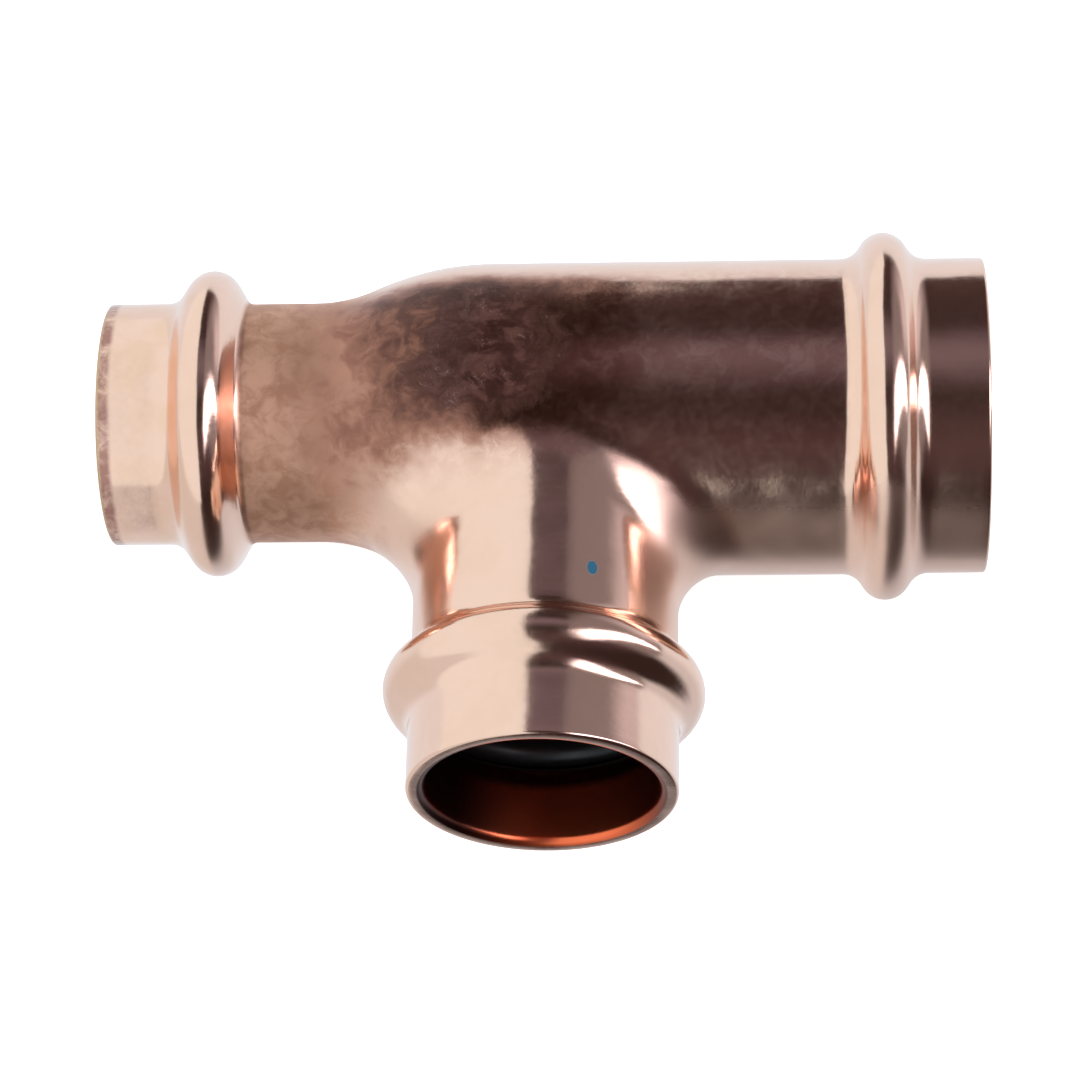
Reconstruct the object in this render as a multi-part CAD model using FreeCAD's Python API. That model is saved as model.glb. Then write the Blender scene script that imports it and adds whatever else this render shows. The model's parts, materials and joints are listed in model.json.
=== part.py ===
"""A reducing press tee of formed copper: a 28 mm run end, a 22 mm run end and a 22 mm branch.

The tee lies flat, so both axes are level. +X points out of the 28 mm socket, -X out of the
22 mm run socket, -Y out of the branch, and +Z is up. The origin is under the middle of the
tee's bounding box, on the surface that its largest bead rests on. Sizes are in millimetres.
"""

import FreeCAD, Part

import math
import os
from dataclasses import dataclass

from FreeCAD import Rotation, Vector

# The run between its sockets, as distances from the crossing of the two axes.
REDUCER_LARGE_END = 5.4
REDUCER_SMALL_END = 22.9
INNER_REDUCER_SMALL_END = 21.4  # the waterway narrows a little sooner, before the tube's stop
HOLLOW_SHARE = 0.34  # how much of the reducer's S-curve is its hollow arc
OUTER_CROTCH = 6.5  # blend between the branch and the run, outside
INNER_CROTCH = 2.5

# The press bead and the groove inside it.
CREST_ARC = 2.55
GROOVE_ARC = 1.6

# The sealing rings.
RING_SECTION = 3.0
RING_CLEARANCE = 0.15  # between a ring and the outside of its tube, before pressing
ROOF_GAP = 0.03  # between a ring and the roof of its groove

TUBE_PLAY = 0.1  # between a tube and the bore of its socket, all round
OUTER_LIP = 0.3
OVERRUN = 5.0  # how far the hollow is cut past each mouth


@dataclass
class Flank:
    """One side of a bead or a groove."""

    foot: float  # radius of the arc where it meets the tube's wall
    lean: float  # degrees between the flank and a plane across the tube


MOUTH_SIDE = Flank(foot=2.1, lean=34.0)
GROOVE_SIDE = Flank(foot=1.9, lean=24.0)


@dataclass
class Socket:
    """One end of the tee. Lengths run along its axis from the crossing, and sizes are radii."""

    tube: float
    neck: float  # outside, on the body side of the bead
    guide: float  # outside, on the mouth side of the bead
    crest: float
    mouth: float
    bead: float
    depth: float  # how far a tube goes in from the mouth
    waterway: float  # inside, beyond the tube's stop
    lip: float  # rounding of the bore's edge at the mouth
    body_side: Flank  # of the bead outside
    turn: float  # degrees about +Z from +X to the socket's axis

    @property
    def bore(self):
        return self.tube + TUBE_PLAY

    @property
    def stop(self):
        return self.mouth - self.depth

    @property
    def ring_centre(self):
        return self.tube + RING_CLEARANCE + RING_SECTION / 2

    @property
    def roof(self):
        return self.ring_centre + RING_SECTION / 2 + ROOF_GAP


LARGE = Socket(tube=14.0, neck=15.55, guide=15.5, crest=18.1, mouth=42.8, bead=33.0,
               depth=23.0, waterway=13.6, lip=0.6, body_side=Flank(foot=2.2, lean=28.0), turn=0)
SMALL = Socket(tube=11.0, neck=11.85, guide=12.0, crest=15.2, mouth=43.4, bead=33.1,
               depth=21.0, waterway=10.6, lip=0.4, body_side=Flank(foot=1.0, lean=30.0), turn=180)
BRANCH = Socket(tube=11.0, neck=12.8, guide=12.9, crest=15.4, mouth=41.0, bead=30.5,
                depth=21.0, waterway=10.6, lip=0.8, body_side=Flank(foot=1.6, lean=28.0), turn=-90)
SEALS = {"run_large_seal": LARGE, "run_small_seal": SMALL, "branch_seal": BRANCH}

# From the crossing of the axes to the middle of the bounding box, and up from the surface.
CROSSING = Vector(
    (SMALL.mouth - LARGE.mouth) / 2,
    (BRANCH.mouth - LARGE.crest) / 2,
    LARGE.crest,
)


def arc(centre, radius, start, end):
    """An arc in the XY plane about centre, from one angle in degrees to another."""
    places = []
    for degrees in (start, (start + end) / 2, end):
        angle = math.radians(degrees)
        place = Vector(centre[0] + radius * math.cos(angle), centre[1] + radius * math.sin(angle), 0)
        places.append(place)
    return places


def outline(steps):
    """The edges through a list of points (along, radius) and arcs, joined by straight lines."""
    edges = []
    last = None
    for step in steps:
        is_arc = isinstance(step, list)
        first = step[0] if is_arc else Vector(step[0], step[1], 0)
        if last is not None and last.distanceToPoint(first) > 1e-6:
            edges.append(Part.LineSegment(last, first).toShape())
        if is_arc:
            edges.append(Part.Arc(*step).toShape())
        last = step[-1] if is_arc else first
    return edges


def turned(steps):
    """The solid swept by an outline, closed along the X axis, as it turns about that axis."""
    first = steps[0]
    section = Part.Face(Part.Wire(outline(steps + [first])))
    return section.revolve(Vector(0, 0, 0), Vector(1, 0, 0), 360)


def hump(at, before, after, top, top_arc, rise, fall):
    """Arcs of a rounded ridge at one place, between the radii before it and after it."""
    centre = top - top_arc

    def foot(wall, flank):
        """How far from the ridge its foot ends."""
        lean = math.radians(flank.lean)
        drop = centre + top_arc * math.sin(lean) - wall - flank.foot * (1 - math.sin(lean))
        return (top_arc + flank.foot) * math.cos(lean) + drop * math.tan(lean)

    return [
        arc((at - foot(before, rise), before + rise.foot), rise.foot, 270, 360 - rise.lean),
        arc((at, centre), top_arc, 180 - rise.lean, fall.lean),
        arc((at + foot(after, fall), after + fall.foot), fall.foot, 180 + fall.lean, 270),
    ]


def outside(socket):
    """Outside of a socket, from its neck to its mouth."""
    edge = socket.guide - OUTER_LIP
    bead = hump(socket.bead, socket.neck, socket.guide, socket.crest,
                CREST_ARC, socket.body_side, MOUTH_SIDE)
    lip = arc((socket.mouth - OUTER_LIP, edge), OUTER_LIP, 90, 0)
    return bead + [lip, (socket.mouth, 0)]


def inside(socket):
    """Inside of a socket, from its waterway to past its mouth."""
    step = socket.bore - socket.waterway
    groove = hump(socket.bead, socket.bore, socket.bore, socket.roof, GROOVE_ARC, GROOVE_SIDE, GROOVE_SIDE)
    lip = arc((socket.mouth - socket.lip, socket.bore + socket.lip), socket.lip, 270, 360)
    stop = [(socket.stop - step, socket.waterway), (socket.stop, socket.bore)]
    past = socket.mouth + OVERRUN
    return stop + groove + [lip, (past, socket.bore + socket.lip), (past, 0)]


def flipped(steps):
    """Steps for the other way along the axis, in the order that continues an outline."""
    mirrored = []
    for step in reversed(steps):
        if isinstance(step, list):
            mirrored.append([Vector(-place.x, place.y, 0) for place in reversed(step)])
        else:
            mirrored.append((-step[0], step[1]))
    return mirrored


def reducer(small_end, small, large):
    """The S-curve that widens the run from one radius to the other, as two arcs."""
    length = small_end - REDUCER_LARGE_END
    rise = large - small
    turn = 2 * math.degrees(math.atan(rise / length))
    both_arcs = length / math.sin(math.radians(turn))
    hollow = both_arcs * HOLLOW_SHARE
    round_arc = both_arcs - hollow
    return [
        arc((-small_end, small + hollow), hollow, 270, 270 + turn),
        arc((-REDUCER_LARGE_END, large - round_arc), round_arc, 90 + turn, 90),
    ]


def run(profile, small_end, small, large):
    """The run as a solid: its small socket, the reducer and its large socket."""
    return turned(flipped(profile(SMALL)) + reducer(small_end, small, large) + profile(LARGE))


def branch(profile, radius):
    """The branch as a solid that starts on the run's axis."""
    stub = turned([(0, 0), (0, radius)] + profile(BRANCH))
    stub.rotate(Vector(0, 0, 0), Vector(0, 0, 1), BRANCH.turn)
    return stub


def blended(joined, radius, reach, blend):
    """The two fused solids with their crotch, the edge between run and branch, rounded."""
    crotch = []
    for edge in joined.Edges:
        middle = edge.valueAt((edge.FirstParameter + edge.LastParameter) / 2)
        on_branch = abs(math.hypot(middle.x, middle.z) - radius) < 0.001
        if on_branch and middle.y > -reach and not isinstance(edge.Curve, Part.Line):
            crotch.append(edge)
    return joined.makeFillet(blend, crotch)


def body():
    """The formed copper body, one piece with its three press beads."""
    solid = run(outside, REDUCER_SMALL_END, SMALL.neck, LARGE.neck)
    solid = solid.fuse(branch(outside, BRANCH.neck))
    solid = blended(solid.removeSplitter(), BRANCH.neck, LARGE.neck, OUTER_CROTCH)
    hollow = run(inside, INNER_REDUCER_SMALL_END, SMALL.waterway, LARGE.waterway)
    hollow = hollow.fuse(branch(inside, BRANCH.waterway))
    hollow = blended(hollow.removeSplitter(), BRANCH.waterway, LARGE.waterway, INNER_CROTCH)
    return solid.cut(hollow)


def seal(socket):
    """The rubber ring in a socket's bead."""
    axis = Rotation(Vector(0, 0, 1), socket.turn).multVec(Vector(1, 0, 0))
    return Part.makeTorus(socket.ring_centre, RING_SECTION / 2, axis * socket.bead, axis)


def write(name, shape):
    placed = shape.copy()
    placed.translate(CROSSING)
    placed.exportStep("parts/" + name + ".step")
    print(name, "valid", placed.isValid(), "solids", len(placed.Solids),
          "volume mm3", round(placed.Volume, 1), placed.BoundBox)


os.makedirs("parts", exist_ok=True)
write("tee_body", body())
for name, socket in SEALS.items():
    write(name, seal(socket))
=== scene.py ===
"""Copper press tee on a pale table, seen from above the branch, under soft studio light."""

import json
import math

import bmesh
import bpy
import numpy as np
from mathutils import Matrix, Vector


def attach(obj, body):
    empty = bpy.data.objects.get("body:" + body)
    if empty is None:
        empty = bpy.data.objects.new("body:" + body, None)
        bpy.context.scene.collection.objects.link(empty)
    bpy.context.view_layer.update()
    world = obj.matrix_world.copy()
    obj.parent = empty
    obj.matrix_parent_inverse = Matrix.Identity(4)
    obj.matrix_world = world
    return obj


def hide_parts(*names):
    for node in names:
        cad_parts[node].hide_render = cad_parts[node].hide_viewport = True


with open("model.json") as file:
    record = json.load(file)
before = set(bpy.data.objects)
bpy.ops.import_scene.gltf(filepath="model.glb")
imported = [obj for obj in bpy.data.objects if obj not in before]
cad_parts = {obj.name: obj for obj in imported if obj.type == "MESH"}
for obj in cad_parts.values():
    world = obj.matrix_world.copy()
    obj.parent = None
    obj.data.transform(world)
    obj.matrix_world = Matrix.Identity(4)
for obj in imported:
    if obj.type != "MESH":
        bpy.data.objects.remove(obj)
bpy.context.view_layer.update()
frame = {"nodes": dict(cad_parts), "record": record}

MM = 0.001

# Where the tubes' axes cross: the sockets' mounts lie on them.
sockets = {mount["name"]: Vector(mount["pos_m"]) for mount in frame["record"]["mounts"]}
CROSSING = Vector((sockets["branch_socket"].x, sockets["run_large_socket"].y, sockets["branch_socket"].z))

# Camera, about the crossing.
VIEW_AZIMUTH = math.radians(6.3)
VIEW_ELEVATION = math.radians(60.6)
VIEW_ROLL = math.radians(-6.05)
VIEW_DISTANCE = 392.9 * MM
VIEW_RIGHT = 0.92 * MM
VIEW_UP = 11.87 * MM
LENS_MM = 132.15
SENSOR_MM = 36.0

# The mesh of the tee.
AROUND = 160  # cells round a run socket
PATCH_HALF = 32  # of those cells, how many the branch's patch takes up on each side
HALF_PATCH = 2 * math.pi / AROUND * PATCH_HALF  # the same, as an angle
PATCH_LONG = 50  # cells along the patch
CORNER_DEGREES = 40.0  # how far round the branch the patch's corners lie from the run's axis
CROTCH_STEPS = 30
LONGEST = 0.7  # step along a straight stretch, in millimetres
WAIST = 6  # points along the narrowing waterway
SETTLE_ROUNDS = 8  # to bring the crotch's first grid on to the surface
SMOOTH_ROUNDS = 20  # to even out that grid
STEP = 0.01  # for slopes of off_surface, in millimetres
WELD = 0.005 * MM  # grids meet within this

# The tee's sizes in millimetres about the crossing, as in the design.
REDUCER_LARGE_END = 5.4
HOLLOW_SHARE = 0.34
CREST_ARC = 2.55
GROOVE_ARC = 1.6
MOUTH_SIDE = dict(foot=2.1, lean=math.radians(34.0))
GROOVE_SIDE = dict(foot=1.9, lean=math.radians(24.0))
OUTER_LIP = 0.3
LARGE = dict(neck=15.55, guide=15.5, crest=18.1, mouth=42.8, bead=33.0, bore=14.1, roof=17.18,
             stop=19.8, waterway=13.6, lip=0.6, body_side=dict(foot=2.2, lean=math.radians(28.0)))
SMALL = dict(neck=11.85, guide=12.0, crest=15.2, mouth=43.4, bead=33.1, bore=11.1, roof=14.18,
             stop=22.4, waterway=10.6, lip=0.4, body_side=dict(foot=1.0, lean=math.radians(30.0)))
BRANCH = dict(neck=12.8, guide=12.9, crest=15.4, mouth=41.0, bead=30.5, bore=11.1, roof=14.18,
              stop=20.0, waterway=10.6, lip=0.8, body_side=dict(foot=1.6, lean=math.radians(28.0)))
OUTSIDE = dict(small_end=22.9, small="neck", low=-26.0, high=24.0, start=22.7, blend=6.5)
INSIDE = dict(small_end=21.4, small="waterway", low=-17.5, high=17.0, start=16.9, blend=2.5)


def arc(centre, radius, start, end):
    """Points of an arc, about ten degrees apart, between two angles in radians."""
    count = max(2, math.ceil(abs(end - start) / math.radians(10)))
    turns = [start + (end - start) * i / count for i in range(count + 1)]
    return [(centre[0] + radius * math.cos(t), centre[1] + radius * math.sin(t)) for t in turns]


def hump(at, before, after, top, top_arc, rise, fall):
    """Points over a rounded ridge, between the radii before it and after it."""
    centre = top - top_arc
    down = math.pi / 2

    def foot(wall, flank):
        lean = flank["lean"]
        drop = centre + top_arc * math.sin(lean) - wall - flank["foot"] * (1 - math.sin(lean))
        return (top_arc + flank["foot"]) * math.cos(lean) + drop * math.tan(lean)

    return (
        arc((at - foot(before, rise), before + rise["foot"]), rise["foot"], -down, -rise["lean"])
        + arc((at, centre), top_arc, math.pi - rise["lean"], fall["lean"])
        + arc((at + foot(after, fall), after + fall["foot"]), fall["foot"], math.pi + fall["lean"], 3 * down)
    )


def spaced(points):
    """The points with more between any two that lie far apart."""
    fine = [points[0]]
    for end in points[1:]:
        start = fine[-1]
        cells = max(1, math.ceil(math.dist(start, end) / LONGEST))
        for i in range(1, cells + 1):
            fine.append(tuple(a + (b - a) * i / cells for a, b in zip(start, end)))
    return fine


def beginning(socket, side):
    """How far from the crossing a socket's rings begin, outside or inside."""
    if socket is BRANCH:
        return side["start"]
    return side["high"] if socket is LARGE else -side["low"]


def wall(socket):
    """A socket's section, from the crotch outside, round its mouth, to the crotch inside."""
    mouth, guide, bore, lip = socket["mouth"], socket["guide"], socket["bore"], socket["lip"]
    right = math.pi / 2
    last = beginning(socket, INSIDE)
    points = [(beginning(socket, OUTSIDE), socket["neck"])]
    points += hump(socket["bead"], socket["neck"], guide, socket["crest"],
                   CREST_ARC, socket["body_side"], MOUTH_SIDE)
    points += arc((mouth - OUTER_LIP, guide - OUTER_LIP), OUTER_LIP, right, 0)
    points += arc((mouth - lip, bore + lip), lip, 0, -right)
    groove = hump(socket["bead"], bore, bore, socket["roof"], GROOVE_ARC, GROOVE_SIDE, GROOVE_SIDE)
    points += groove[::-1]
    step = bore - socket["waterway"]
    points += [(socket["stop"], bore), (socket["stop"] - step, socket["waterway"])]
    if socket is SMALL:
        # past the stop the waterway widens towards the large end
        xs = np.linspace(-INSIDE["small_end"], INSIDE["low"], WAIST)
        points += [(-x, float(radius_at(x, INSIDE))) for x in xs]
    points.append((last, float(radius_at(-last, INSIDE)) if socket is SMALL else socket["waterway"]))
    return spaced(points)


def radius_at(x, side):
    """The run's radius between its sockets: a reducer of two arcs, flat at both ends."""
    small, large = SMALL[side["small"]], LARGE[side["small"]]
    length = side["small_end"] - REDUCER_LARGE_END
    turn = 2 * math.atan((large - small) / length)
    hollow = length / math.sin(turn) * HOLLOW_SHARE
    round_arc = length / math.sin(turn) - hollow
    from_small = np.clip(x + side["small_end"], 0, length)
    from_large = length - from_small
    low = small + hollow - np.sqrt(np.maximum(hollow ** 2 - from_small ** 2, 0))
    high = large - round_arc + np.sqrt(np.maximum(round_arc ** 2 - from_large ** 2, 0))
    return np.where(from_small < hollow * math.sin(turn), low, high)


def off_surface(p, side):
    """How far points lie from the surface of run and branch, joined by a rolled blend."""
    x, y, z = p[..., 0], p[..., 1], p[..., 2]
    blend = side["blend"]
    around_run = np.hypot(y, z)
    around_branch = np.hypot(x, z)
    to_run = around_run - radius_at(x, side)
    to_branch = around_branch - BRANCH[side["small"]]
    cos = z * z / np.maximum(around_run * around_branch, 1e-9)
    a = np.maximum(blend - to_run, 0)
    b = np.maximum(blend - to_branch, 0)
    between = (a > b * cos) & (b > a * cos)
    reach = np.sqrt((a * a + b * b - 2 * a * b * cos) / np.maximum(1 - cos * cos, 1e-6))
    return np.where(between, blend - reach, np.minimum(to_run, to_branch))


def settle(p, side, rounds):
    """Points moved along the slope of off_surface until they lie on the surface."""
    for _ in range(rounds):
        value = off_surface(p, side)
        slope = np.stack([
            (off_surface(p + STEP * axis, side) - off_surface(p - STEP * axis, side)) / (2 * STEP)
            for axis in np.eye(3)], -1)
        size = np.maximum((slope ** 2).sum(-1), 0.2)
        p = p - slope * (value / size)[..., None]
    return p


def on_run(x, turn, side):
    """The point of the run at x, turned from straight towards the branch."""
    radius = radius_at(x, side)
    return np.stack([x, -radius * np.cos(turn), radius * np.sin(turn)], -1)


def crotch(side):
    """A grid of points, from the branch's ring down to a rectangle on the run."""
    across = np.linspace(-HALF_PATCH, HALF_PATCH, 2 * PATCH_HALF + 1)[:-1]
    along = np.linspace(side["high"], side["low"], PATCH_LONG + 1)[:-1]
    edge_x = np.concatenate([
        np.full(len(across), side["high"]), along,
        np.full(len(across), side["low"]), side["high"] + side["low"] - along])
    edge_turn = np.concatenate([
        across, np.full(len(along), HALF_PATCH), -across, np.full(len(along), -HALF_PATCH)])
    ring = ring_angles()
    radius = BRANCH[side["small"]]
    foot_x, foot_z = radius * np.cos(ring), radius * np.sin(ring)
    foot_y = -np.sqrt(radius_at(foot_x, side) ** 2 - foot_z ** 2)
    foot_turn = np.arctan2(foot_z, -foot_y)
    fall = side["start"] + foot_y
    reach = np.hypot(edge_x - foot_x, (edge_turn - foot_turn) * LARGE[side["small"]])
    rows = []
    for i in range(CROTCH_STEPS + 1):
        way = (fall + reach) * i / CROTCH_STEPS
        on_stub = np.stack([foot_x, -side["start"] + way, foot_z], -1)
        share = np.clip((way - fall) / reach, 0, 1)
        body_x = foot_x + (edge_x - foot_x) * share
        on_body = on_run(body_x, foot_turn + (edge_turn - foot_turn) * share, side)
        rows.append(np.where((way < fall)[:, None], on_stub, on_body))
    grid = np.array(rows)
    grid[1:-1] = settle(grid[1:-1], side, SETTLE_ROUNDS)
    for _ in range(SMOOTH_ROUNDS):
        near = (grid[:-2] + grid[2:] + np.roll(grid, 1, 1)[1:-1] + np.roll(grid, -1, 1)[1:-1]) / 4
        grid[1:-1] = settle((grid[1:-1] + near) / 2, side, 2)
    return grid


def ring_angles():
    """Angles of the branch's rings, about its axis from +X towards +Z."""
    corner = math.radians(CORNER_DEGREES)
    short = np.linspace(-corner, corner, 2 * PATCH_HALF + 1)[:-1]
    long = np.linspace(corner, math.pi - corner, PATCH_LONG + 1)[:-1]
    return np.concatenate([short, long, short + math.pi, long + math.pi])


def middle(side):
    """The run between the sockets, apart from the branch's patch."""
    x = np.linspace(side["low"], side["high"], PATCH_LONG + 1)
    turn = np.linspace(HALF_PATCH, 2 * math.pi - HALF_PATCH, AROUND - 2 * PATCH_HALF + 1)
    return on_run(*np.meshgrid(x, turn, indexing="ij"), side)


def tube(socket, direction):
    """A run socket's wall, as rings about the X axis."""
    turn = np.arange(AROUND) * 2 * math.pi / AROUND
    return np.array([
        np.stack([np.full(AROUND, s * direction), -r * np.cos(turn), r * np.sin(turn)], -1)
        for s, r in wall(socket)])


def stub():
    """The branch socket's wall, as rings about the Y axis."""
    turn = ring_angles()
    return np.array([
        np.stack([r * np.cos(turn), np.full(len(turn), -s), r * np.sin(turn)], -1)
        for s, r in wall(BRANCH)])


def grid_faces(shape, first, wraps):
    """Four-cornered faces of a grid of points, closed round if it wraps."""
    rows, columns = shape
    faces = []
    for i in range(rows - 1):
        for j in range(columns if wraps else columns - 1):
            k = (j + 1) % columns
            faces.append((first + i * columns + j, first + i * columns + k,
                          first + (i + 1) * columns + k, first + (i + 1) * columns + j))
    return faces


def body_shape():
    """The whole copper body as one closed mesh, in metres."""
    grids = [
        (tube(LARGE, 1), True), (tube(SMALL, -1), True), (stub(), True),
        (crotch(OUTSIDE), True), (crotch(INSIDE), True),
        (middle(OUTSIDE), False), (middle(INSIDE), False)]
    places, faces = [], []
    for grid, wraps in grids:
        faces += grid_faces(grid.shape[:2], len(places), wraps)
        places += grid.reshape(-1, 3).tolist()
    shape = bmesh.new()
    verts = [shape.verts.new(Vector(p) * MM + CROSSING) for p in places]
    for face in faces:
        shape.faces.new([verts[i] for i in face])
    bmesh.ops.remove_doubles(shape, verts=shape.verts, dist=WELD)
    bmesh.ops.recalc_face_normals(shape, faces=shape.faces)
    for face in shape.faces:
        face.smooth = True
    return shape


def add_camera():
    """The camera looks down on the tee, with the branch towards it."""
    back = Vector((
        math.sin(VIEW_AZIMUTH) * math.cos(VIEW_ELEVATION),
        -math.cos(VIEW_AZIMUTH) * math.cos(VIEW_ELEVATION),
        math.sin(VIEW_ELEVATION),
    ))
    level_right = Vector((math.cos(VIEW_AZIMUTH), math.sin(VIEW_AZIMUTH), 0))
    level_up = back.cross(level_right)
    right = level_right * math.cos(VIEW_ROLL) + level_up * math.sin(VIEW_ROLL)
    up = back.cross(right)
    data = bpy.data.cameras.new("camera")
    data.lens = LENS_MM
    data.sensor_width = SENSOR_MM
    camera = bpy.data.objects.new("camera", data)
    bpy.context.scene.collection.objects.link(camera)
    turn = Matrix((right, up, back)).transposed().to_4x4()
    place = CROSSING + back * VIEW_DISTANCE - right * VIEW_RIGHT - up * VIEW_UP
    camera.matrix_world = Matrix.Translation(place) @ turn
    bpy.context.scene.camera = camera


class Tree:
    """Short calls that add nodes to a material or a world and return their outputs."""

    def __init__(self, owner):
        owner.use_nodes = True
        self.nodes = owner.node_tree.nodes
        self.links = owner.node_tree.links

    def put(self, socket, value):
        if isinstance(value, bpy.types.NodeSocket):
            self.links.new(value, socket)
        else:
            socket.default_value = value

    def math(self, operation, *values):
        node = self.nodes.new("ShaderNodeMath")
        node.operation = operation
        for socket, value in zip(node.inputs, values):
            self.put(socket, value)
        return node.outputs[0]

    def times(self, first, *others):
        """The product of all the values."""
        for other in others:
            first = self.math("MULTIPLY", first, other)
        return first

    def shifted(self, value, by, amount):
        """The value plus an amount of another."""
        return self.math("MULTIPLY_ADD", by, amount, value)

    def length(self, first, second):
        return self.math("SQRT", self.math("ADD", self.times(first, first), self.times(second, second)))

    def rise(self, value, low, high):
        """0 below low, 1 above high and smooth between; low may be the larger, for a fall."""
        node = self.nodes.new("ShaderNodeMapRange")
        node.interpolation_type = "SMOOTHSTEP"
        self.put(node.inputs["Value"], value)
        node.inputs["From Min"].default_value = min(low, high)
        node.inputs["From Max"].default_value = max(low, high)
        node.inputs["To Min"].default_value = 0.0 if low < high else 1.0
        node.inputs["To Max"].default_value = 1.0 if low < high else 0.0
        return node.outputs["Result"]

    def mix(self, share, first, second):
        node = self.nodes.new("ShaderNodeMix")
        node.data_type = "RGBA"
        self.put(node.inputs[0], share)
        self.put(node.inputs[6], first if not isinstance(first, tuple) else (*first, 1))
        self.put(node.inputs[7], second if not isinstance(second, tuple) else (*second, 1))
        return node.outputs[2]

    def blend(self, share, first, second):
        node = self.nodes.new("ShaderNodeMix")
        self.put(node.inputs[0], share)
        self.put(node.inputs[2], first)
        self.put(node.inputs[3], second)
        return node.outputs[0]

    def place(self, shift=(0, 0, 0), scale=(1, 1, 1)):
        """Object coordinates in millimetres, with the crossing at 0."""
        node = self.nodes.new("ShaderNodeMapping")
        node.inputs["Location"].default_value = [
            (s - c / MM) * k for s, c, k in zip(shift, CROSSING, scale)]
        node.inputs["Scale"].default_value = [k / MM for k in scale]
        self.links.new(self.nodes.new("ShaderNodeTexCoord").outputs["Object"], node.inputs["Vector"])
        return node.outputs["Vector"]

    def split(self, vector):
        node = self.nodes.new("ShaderNodeSeparateXYZ")
        self.links.new(vector, node.inputs[0])
        return node.outputs["X"], node.outputs["Y"], node.outputs["Z"]

    def noise(self, vector, scale, detail=2.0, roughness=0.5, distortion=0.0):
        node = self.nodes.new("ShaderNodeTexNoise")
        self.links.new(vector, node.inputs["Vector"])
        node.inputs["Scale"].default_value = scale
        node.inputs["Detail"].default_value = detail
        node.inputs["Roughness"].default_value = roughness
        node.inputs["Distortion"].default_value = distortion
        return node.outputs["Fac"]

    def bump(self, height, distance_mm, strength=1.0, normal=None):
        node = self.nodes.new("ShaderNodeBump")
        self.links.new(height, node.inputs["Height"])
        node.inputs["Distance"].default_value = distance_mm * MM
        node.inputs["Strength"].default_value = strength
        if normal is not None:
            self.links.new(normal, node.inputs["Normal"])
        return node.outputs["Normal"]


def rectangle(left, right, reach, height):
    """Corners of a level rectangle, as far to the front as to the back."""
    return [(left, -reach, height), (right, -reach, height), (right, reach, height), (left, reach, height)]


def studio_sheet(name, corners, material):
    """A flat sheet that belongs to the studio, not to the tee."""
    mesh = bpy.data.meshes.new(name)
    mesh.from_pydata(corners, [], [(0, 1, 2, 3)])
    mesh.materials.append(material)
    sheet = bpy.data.objects.new(name, mesh)
    bpy.context.scene.collection.objects.link(sheet)
    return sheet


# The studio's two sheets, in metres.
FLOOR_REACH = 3.0
CARD = dict(left=-0.070, right=0.14, reach=1.5, height=0.40)


def add_floor():
    """A pale matt floor that glows a little, so that it stays plain white; reflections don't show it."""
    m = bpy.data.materials.new("floor")
    m.use_nodes = True
    b = m.node_tree.nodes["Principled BSDF"]
    b.inputs["Base Color"].default_value = (0.9, 0.9, 0.9, 1)
    b.inputs["Roughness"].default_value = 0.8
    b.inputs["Specular IOR Level"].default_value = 0.2
    b.inputs["Emission Color"].default_value = (1, 1, 1, 1)
    b.inputs["Emission Strength"].default_value = 0.75
    floor = studio_sheet("floor", rectangle(-FLOOR_REACH, FLOOR_REACH, FLOOR_REACH, 0), m)
    floor.visible_glossy = False


# What stands round the tee. A pair is a soft edge, in the x, y or z of the direction that is
# looked in: nothing of the light at its first number and all of it at its second.
BAND_SPAN = 130.0  # degrees each way that the bands' ramp covers
BANDS = [  # the dark room overhead: degrees from straight up towards the back, and colour
    (-100, (0.030, 0.020, 0.020)),
    (-50, (0.080, 0.050, 0.055)),
    (-15, (0.040, 0.025, 0.025)),
    (15, (0.180, 0.150, 0.190)),
    (40, (0.045, 0.030, 0.032)),
    (85, (0.060, 0.035, 0.035)),
]
LEFT_PANEL = (0.95, 1.05, 1.10)
LEFT_PANEL_X = (-0.03, -0.05)
RIGHT_WALL = (0.25, 0.235, 0.26)
RIGHT_WALL_X = (0.15, 0.45)
RIGHT_WALL_Y = (-0.70, -0.30)
RIGHT_LOW = (0.72, 0.70, 0.80)  # the wall's pale foot, at the back
RIGHT_LOW_X = (0.3, 0.8)
RIGHT_LOW_Y = (0.2, 0.5)
RIGHT_LOW_Z = (0.5, 0.2)
WINDOW = (4.6, 4.6, 5.3)
WINDOW_X = (0.32, 0.58)
WINDOW_Z = (0.0, 0.15)
WINDOW_LEAN = 1.22  # radians further back for each 1 of x
WINDOW_START = -1.06  # radians from straight up, where x is 0
WINDOW_HALF = (0.48, 0.20)  # radians to each side of its middle
HORIZON_Z = (0.03, -0.05)
FLOOR_FRONT = (0.035, 0.022, 0.022)
FLOOR_UNDER = (0.68, 0.74, 0.82)
FLOOR_UNDER_Y = (-0.54, -0.22)
FLOOR_LEFT = (0.76, 0.80, 0.84)
FLOOR_LEFT_X = (-0.09, -0.15)
FLOOR_BACK = (0.86, 0.95, 1.04)
FLOOR_BACK_Y = (-0.1, 0.4)


def room_bands(t, y, z):
    """The direction's tilt across the run in radians, and the light of the room overhead there."""
    tilt = t.math("ARCTAN2", y, z)
    share = t.math("MULTIPLY_ADD", tilt, 0.5 / math.radians(BAND_SPAN), 0.5)
    ramp = t.nodes.new("ShaderNodeValToRGB")
    ramp.color_ramp.interpolation = "EASE"
    stops = ramp.color_ramp.elements
    while len(stops) < len(BANDS):
        stops.new(0.5)
    for stop, (degrees, light) in zip(stops, BANDS):
        stop.position = 0.5 + 0.5 * degrees / BAND_SPAN
        stop.color = (*light, 1)
    t.links.new(share, ramp.inputs["Fac"])
    return tilt, ramp.outputs["Color"]


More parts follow.
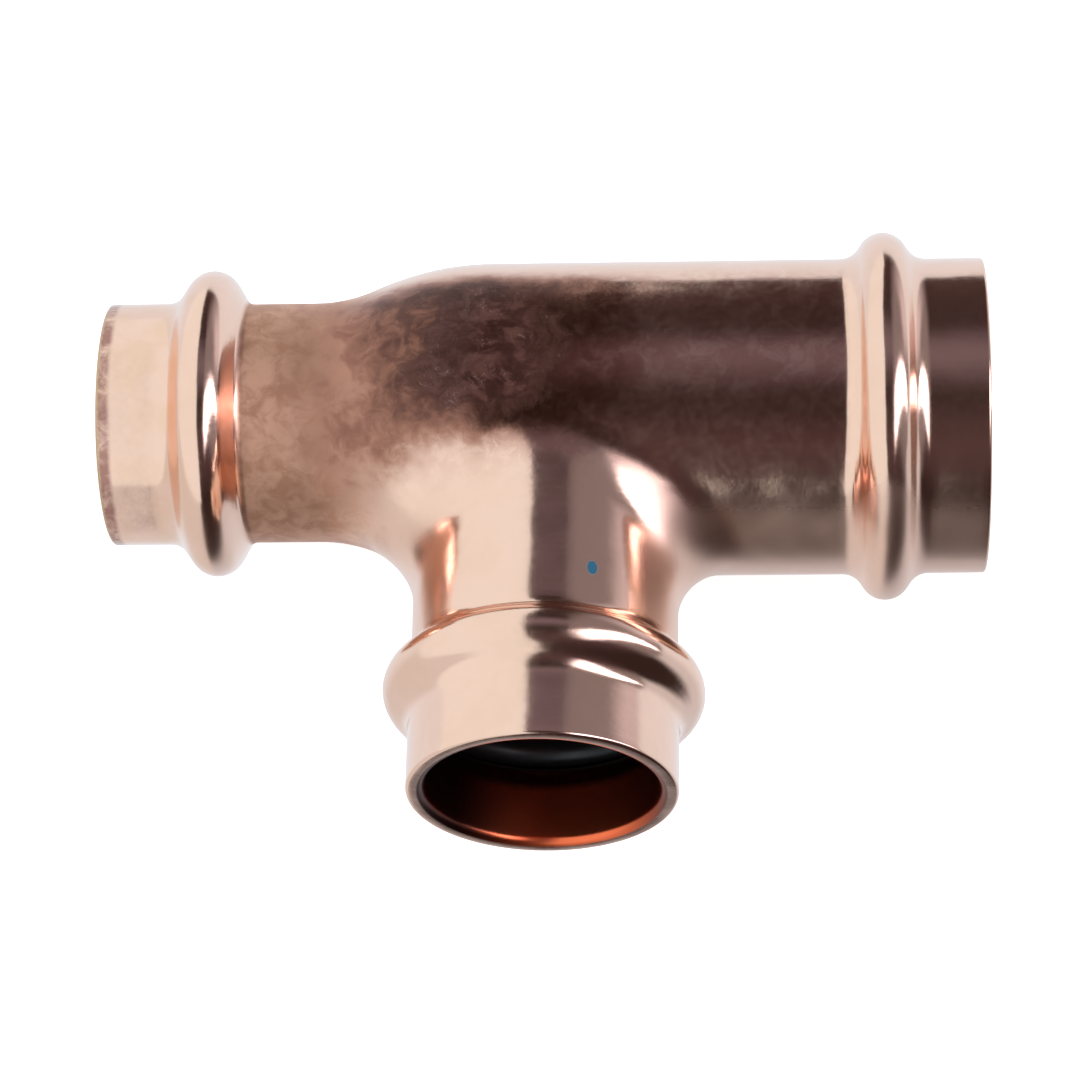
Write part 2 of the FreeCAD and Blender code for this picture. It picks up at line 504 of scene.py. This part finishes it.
def add_world():
    """Light from all round: a bright panel at the left, a window at the right, a pale table."""
    world = bpy.data.worlds.new("studio")
    t = Tree(world)
    x, y, z = t.split(t.nodes.new("ShaderNodeTexCoord").outputs["Generated"])
    tilt, light = room_bands(t, y, z)
    light = t.mix(t.times(t.rise(x, *RIGHT_WALL_X), t.rise(y, *RIGHT_WALL_Y)), light, RIGHT_WALL)
    low = t.times(t.rise(z, *RIGHT_LOW_Z), t.rise(y, *RIGHT_LOW_Y), t.rise(x, *RIGHT_LOW_X))
    light = t.mix(low, light, RIGHT_LOW)
    light = t.mix(t.rise(x, *LEFT_PANEL_X), light, LEFT_PANEL)
    floor = t.mix(t.rise(y, *FLOOR_UNDER_Y), FLOOR_FRONT, FLOOR_UNDER)
    floor = t.mix(t.rise(x, *FLOOR_LEFT_X), floor, FLOOR_LEFT)
    floor = t.mix(t.rise(y, *FLOOR_BACK_Y), floor, FLOOR_BACK)
    light = t.mix(t.rise(z, *HORIZON_Z), light, floor)
    # the window leans, so further to the right it also stands further back
    middle_tilt = t.math("MULTIPLY_ADD", x, WINDOW_LEAN, WINDOW_START)
    off_middle = t.math("ABSOLUTE", t.math("SUBTRACT", tilt, middle_tilt))
    window = t.times(t.rise(off_middle, *WINDOW_HALF), t.rise(z, *WINDOW_Z), t.rise(x, *WINDOW_X))
    light = t.mix(window, light, WINDOW)
    t.links.new(light, t.nodes["Background"].inputs["Color"])
    bpy.context.scene.world = world


def add_card():
    """The dark ceiling near the tee, seen only in reflections; its left edge cuts off the panel."""
    m = bpy.data.materials.new("card")
    t = Tree(m)
    b = t.nodes["Principled BSDF"]
    b.inputs["Base Color"].default_value = (0, 0, 0, 1)
    b.inputs["Specular IOR Level"].default_value = 0
    b.inputs["Emission Strength"].default_value = 1
    y = t.split(t.nodes.new("ShaderNodeTexCoord").outputs["Object"])[1]
    t.put(b.inputs["Emission Color"], room_bands(t, y, CARD["height"])[1])
    card = studio_sheet("card", rectangle(**CARD), m)
    card.visible_camera = False
    card.visible_diffuse = False
    card.visible_shadow = False
    card.visible_transmission = False


# The copper's colours.
COPPER = (0.93, 0.62, 0.485)
COPPER_WARM = (0.90, 0.60, 0.455)
TAN = (0.56, 0.27, 0.165)
TAN_PALE = (0.78, 0.44, 0.30)
OXIDE_DARK = (0.050, 0.017, 0.013)
OXIDE_LIGHT = (0.13, 0.055, 0.042)
OXIDE_EDGE = (0.42, 0.19, 0.13)
STAIN = (0.88, 0.57, 0.39)
FILM = (0.66, 0.34, 0.27)
SCRATCH = (0.75, 0.50, 0.42)
# Inside the sockets: partly a redder, darker oxide on the copper and partly painted light, a painted
# reflected glow in red and painted shade in near black.
INSIDE_RED_OXIDE_AND_GLOW = (0.98, 0.19, 0.075)
INSIDE_OXIDE_AND_SHADE = (0.10, 0.035, 0.025)
RIM_BAND = (0.42, 0.21, 0.17)
RIM_BURR = (0.62, 0.42, 0.25)
INK = (0.045, 0.15, 0.23)

# Where its finishes lie, in millimetres about the crossing. A pair is again a soft edge.
OXIDE_BELOW = (-12.5, -4.5)
OXIDE_ABOVE = (10.5, 6.0)
OXIDE_LEFT = (-31.0, -3.0)
OXIDE_RIGHT = (17.0, -9.0)
OXIDE_SLANT_FROM = -9.0  # to the left of here its lower edge rises
OXIDE_SLANT = -0.3
TOP_HALF = (0.0, 3.0)
FILM_BELOW = (-15.0, -8.0)
FILM_LEFT = (-24.0, -2.0)
FILM_RIGHT = (29.6, 28.6)
NECK_LEFT = (-29.9, -29.4)
NECK_RIGHT = (-13.0, -22.0)
STAIN_LEFT = (-33.5, -36.0)
BRANCH_BORE = (11.95, 11.75)
LARGE_BORE = (14.7, 14.5)
SMALL_BORE = (11.5, 11.35)
SOCKETS_START = (17.0, 18.0)
# painted shade: towards the rubber ring the branch's bore is painted near black
RING_SHADE = (-34.4, -35.6)  # the branch's bore is dark on the ring's side of this
# where the painted reflected glow lies across the branch's bore, in x; to its sides the bore gets painted
# shade
PAINTED_GLOW_MIDDLE = 2.0
PAINTED_GLOW_HALF = (11.0, 3.0)
RIM_START = (-41.9, -42.5)
RIM_OUTSIDE = (11.0, 11.6)
BURR_START = (-42.75, -43.0)
CROTCH_OFF_BRANCH = (12.9, 13.8)
CROTCH_OFF_RUN = (15.65, 16.2)
CROTCH_FRONT = (-20.5, -19.0)
CROTCH_RIGHT = (27.0, 25.0)
SIDES_OFF_MIDDLE = (8.5, 11.0)
SIDES_FRONT = (-27.0, -26.0)
SIDES_BACK = (-13.0, -15.0)
SIDES_RIGHT = (5.0, 8.0)
DOT = (5.0, -23.2)
DOT_HALF = (0.48, 0.74)
DOT_EDGE = (1.08, 0.92)  # in the dot's own radii
DOT_ABOVE = (5.0, 6.0)

# How rough it is.
ROUGH_BASE = 0.09
ROUGH_GRAIN = 0.12
ROUGH_NECK = 0.33
ROUGH_NECK_BLOTCHES = 0.3
ROUGH_CROTCH = 0.27
ROUGH_CROTCH_RIGHT = 0.36
ROUGH_INSIDE = 0.30


class CopperNoise:
    """The noises that the copper's finishes share."""

    def __init__(self, t):
        self.patches = t.noise(t.place(), 0.22, 3.0, 0.55)
        self.blotches = t.noise(t.place(shift=(40, 0, 0)), 0.45, 5.0, 0.65, 0.6)
        self.grain = t.noise(t.place(), 1.6, 4.0, 0.6)
        self.streaks = t.noise(t.place(scale=(0.07, 1.0, 1.0)), 1.1, 3.0, 0.6)
        self.uneven = t.math("SUBTRACT", self.patches, 0.5)


def oxide_share(t, n, x, y, z):
    """Brown oxide along the top of the run, fading towards the large end."""
    left_of = t.math("MINIMUM", t.math("SUBTRACT", x, OXIDE_SLANT_FROM), 0.0)
    foot = t.shifted(t.shifted(y, left_of, OXIDE_SLANT), n.uneven, 3.5)
    top = t.times(t.rise(foot, *OXIDE_BELOW), t.rise(t.shifted(y, n.uneven, 1.0), *OXIDE_ABOVE))
    left = t.rise(t.shifted(x, n.uneven, 8.0), *OXIDE_LEFT)
    thin = t.rise(t.shifted(x, n.uneven, 7.0), *OXIDE_RIGHT)
    density = t.blend(t.rise(n.blotches, 0.3, 0.7), 0.8, 1.2)
    return t.times(top, t.rise(z, *TOP_HALF), left, thin, density)


def film_share(t, n, x, y, z):
    """A thin brown film over the top of the run, between its beads."""
    across = t.times(t.rise(y, *FILM_BELOW), t.rise(y, *OXIDE_ABOVE), t.rise(z, *TOP_HALF))
    along = t.times(t.rise(x, *FILM_RIGHT), t.rise(x, *FILM_LEFT))
    return t.times(across, along, t.rise(n.blotches, 0.36, 0.60))


def scratch_share(t):
    """Thin worm-like scratches, here and there."""
    wander = t.noise(t.place(shift=(0, 30, 0)), 0.8, 2.0, 0.5, 1.2)
    line = t.rise(t.math("ABSOLUTE", t.math("SUBTRACT", wander, 0.5)), 0.010, 0.002)
    return t.times(line, t.rise(t.noise(t.place(shift=(0, 0, 25)), 0.35, 2.0), 0.50, 0.62))


def inside_share(t, x, y, off_branch, off_run):
    """The inside of the three sockets."""
    start, full = SOCKETS_START
    in_branch = t.times(t.rise(off_branch, *BRANCH_BORE), t.rise(y, -start, -full))
    in_large = t.times(t.rise(off_run, *LARGE_BORE), t.rise(x, start, full))
    in_small = t.times(t.rise(off_run, *SMALL_BORE), t.rise(x, -start, -full))
    return t.math("MAXIMUM", in_branch, t.math("MAXIMUM", in_large, in_small))


def dot_share(t, x, y, z):
    """A small dot of ink on top of the branch."""
    along = t.math("MULTIPLY", t.math("SUBTRACT", x, DOT[0]), 1 / DOT_HALF[0])
    across = t.math("MULTIPLY", t.math("SUBTRACT", y, DOT[1]), 1 / DOT_HALF[1])
    return t.times(t.rise(t.length(along, across), *DOT_EDGE), t.rise(z, *DOT_ABOVE))


def rim_colors(t, n, x, off_run, color):
    """The small end's rim: a brown band behind a pale burr."""
    band = t.times(t.rise(t.shifted(x, n.uneven, 0.8), *RIM_START), t.rise(off_run, *RIM_OUTSIDE))
    color = t.mix(t.times(band, t.rise(n.blotches, 0.25, 0.60)), color, RIM_BAND)
    burr = t.times(t.rise(t.shifted(x, n.grain, 0.5), *BURR_START), band)
    return t.mix(burr, color, RIM_BURR)


def copper_roughness(t, n, x, y, neck, within, off_branch, off_run):
    """Bright metal, matt at the neck and softer round the crotch and inside."""
    rough = t.math("MULTIPLY_ADD", n.grain, ROUGH_GRAIN, ROUGH_BASE)
    rough = t.blend(neck, rough, t.math("MULTIPLY_ADD", n.blotches, ROUGH_NECK_BLOTCHES, ROUGH_NECK))
    crotch_area = t.times(t.rise(off_branch, *CROTCH_OFF_BRANCH), t.rise(off_run, *CROTCH_OFF_RUN),
                          t.rise(y, *CROTCH_FRONT), t.rise(x, *CROTCH_RIGHT))
    sides = t.times(t.rise(t.math("ABSOLUTE", x), *SIDES_OFF_MIDDLE),
                    t.rise(y, *SIDES_FRONT), t.rise(y, *SIDES_BACK))
    soft = t.blend(t.rise(x, *SIDES_RIGHT), ROUGH_CROTCH, ROUGH_CROTCH_RIGHT)
    rough = t.blend(t.math("MAXIMUM", crotch_area, sides), rough, soft)
    return t.blend(within, rough, ROUGH_INSIDE)


def copper():
    """Bright copper, browned along the top of the run and matt at its small end."""
    m = bpy.data.materials.new("copper")
    t = Tree(m)
    b = t.nodes["Principled BSDF"]
    b.inputs["Specular IOR Level"].default_value = 0.1
    x, y, z = t.split(t.place())
    n = CopperNoise(t)
    off_branch = t.length(x, z)
    off_run = t.length(y, z)
    oxide = oxide_share(t, n, x, y, z)
    film = film_share(t, n, x, y, z)
    neck = t.times(t.rise(x, *NECK_LEFT), t.rise(t.shifted(x, n.uneven, 6.0), *NECK_RIGHT))
    within = inside_share(t, x, y, off_branch, off_run)
    dot = dot_share(t, x, y, z)

    color = t.mix(t.rise(n.patches, 0.35, 0.7), COPPER, COPPER_WARM)
    tan = t.mix(t.rise(n.blotches, 0.35, 0.65), TAN, TAN_PALE)
    color = t.mix(t.math("MULTIPLY", neck, 0.95), color, tan)
    color = t.mix(t.math("MULTIPLY", film, 0.6), color, FILM)
    mottle = t.math("MULTIPLY_ADD", n.streaks, 0.25, t.math("MULTIPLY", n.blotches, 0.85))
    brown = t.mix(t.rise(mottle, 0.40, 0.72), OXIDE_DARK, OXIDE_LIGHT)
    # where the oxide is thin it only tints the metal
    color = t.mix(t.rise(oxide, 0.0, 0.50), color, OXIDE_EDGE)
    color = t.mix(t.rise(oxide, 0.30, 0.85), color, brown)
    stain = t.times(t.rise(x, *STAIN_LEFT), t.rise(n.patches, 0.40, 0.62))
    color = t.mix(t.math("MULTIPLY", stain, 0.4), color, STAIN)
    color = t.mix(t.times(scratch_share(t), film, 0.35), color, SCRATCH)
    color = rim_colors(t, n, x, off_run, color)
    # Painted light inside the sockets: a painted reflected glow on the branch's bore near its mouth, right
    # of the middle, fading into painted shade towards its sides and its ring. The run's sockets get only the
    # painted shade, over darker oxide.
    off_painted_glow = t.math("ABSOLUTE", t.math("SUBTRACT", x, PAINTED_GLOW_MIDDLE))
    painted_glow = t.times(t.rise(y, *RING_SHADE), t.rise(off_painted_glow, *PAINTED_GLOW_HALF))
    color = t.mix(within, color, t.mix(painted_glow, INSIDE_OXIDE_AND_SHADE, INSIDE_RED_OXIDE_AND_GLOW))
    color = t.mix(dot, color, INK)

    metal = t.math("SUBTRACT", 1.0, t.math("MAXIMUM", dot, t.rise(oxide, 0.50, 1.0)))
    t.put(b.inputs["Metallic"], metal)
    t.put(b.inputs["Base Color"], color)
    t.put(b.inputs["Roughness"], copper_roughness(t, n, x, y, neck, within, off_branch, off_run))
    wobble = t.bump(t.noise(t.place(), 0.16, 1.0), 0.24, 0.5)
    t.put(b.inputs["Normal"], t.bump(t.math("ADD", n.grain, n.streaks), 0.010, 0.6, wobble))
    return m


RUBBER = (0.008, 0.008, 0.008)
RUBBER_WORN = (0.016, 0.016, 0.017)


def rubber():
    """Black rubber with a thin film of grease: fine grain, in places shinier."""
    m = bpy.data.materials.new("rubber")
    t = Tree(m)
    b = t.nodes["Principled BSDF"]
    grease = t.noise(t.place(), 0.5, 3.0)
    grain = t.noise(t.place(), 6.0, 3.0, 0.7)
    t.put(b.inputs["Base Color"], t.mix(grain, RUBBER, RUBBER_WORN))
    t.put(b.inputs["Roughness"], t.math("MULTIPLY_ADD", grease, 0.4, 0.22))
    t.put(b.inputs["Normal"], t.bump(grain, 0.02, 0.6))
    return m


def add_shell():
    """The tee's body as one mesh, in place of its CAD solid."""
    shape = body_shape()
    mesh = bpy.data.meshes.new("tee_shell")
    shape.to_mesh(mesh)
    shape.free()
    mesh.materials.append(copper())
    shell = bpy.data.objects.new("tee_shell", mesh)
    bpy.context.scene.collection.objects.link(shell)
    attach(shell, "root")
    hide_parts("tee_body")


def finish_seals():
    """The rings keep their CAD solids and get their rubber."""
    for node, ring in frame["nodes"].items():
        if node != "tee_body":
            ring.data.materials.clear()
            ring.data.materials.append(rubber())


add_camera()
add_floor()
add_world()
add_card()
add_shell()
finish_seals()
bpy.context.scene.view_settings.view_transform = "Standard"
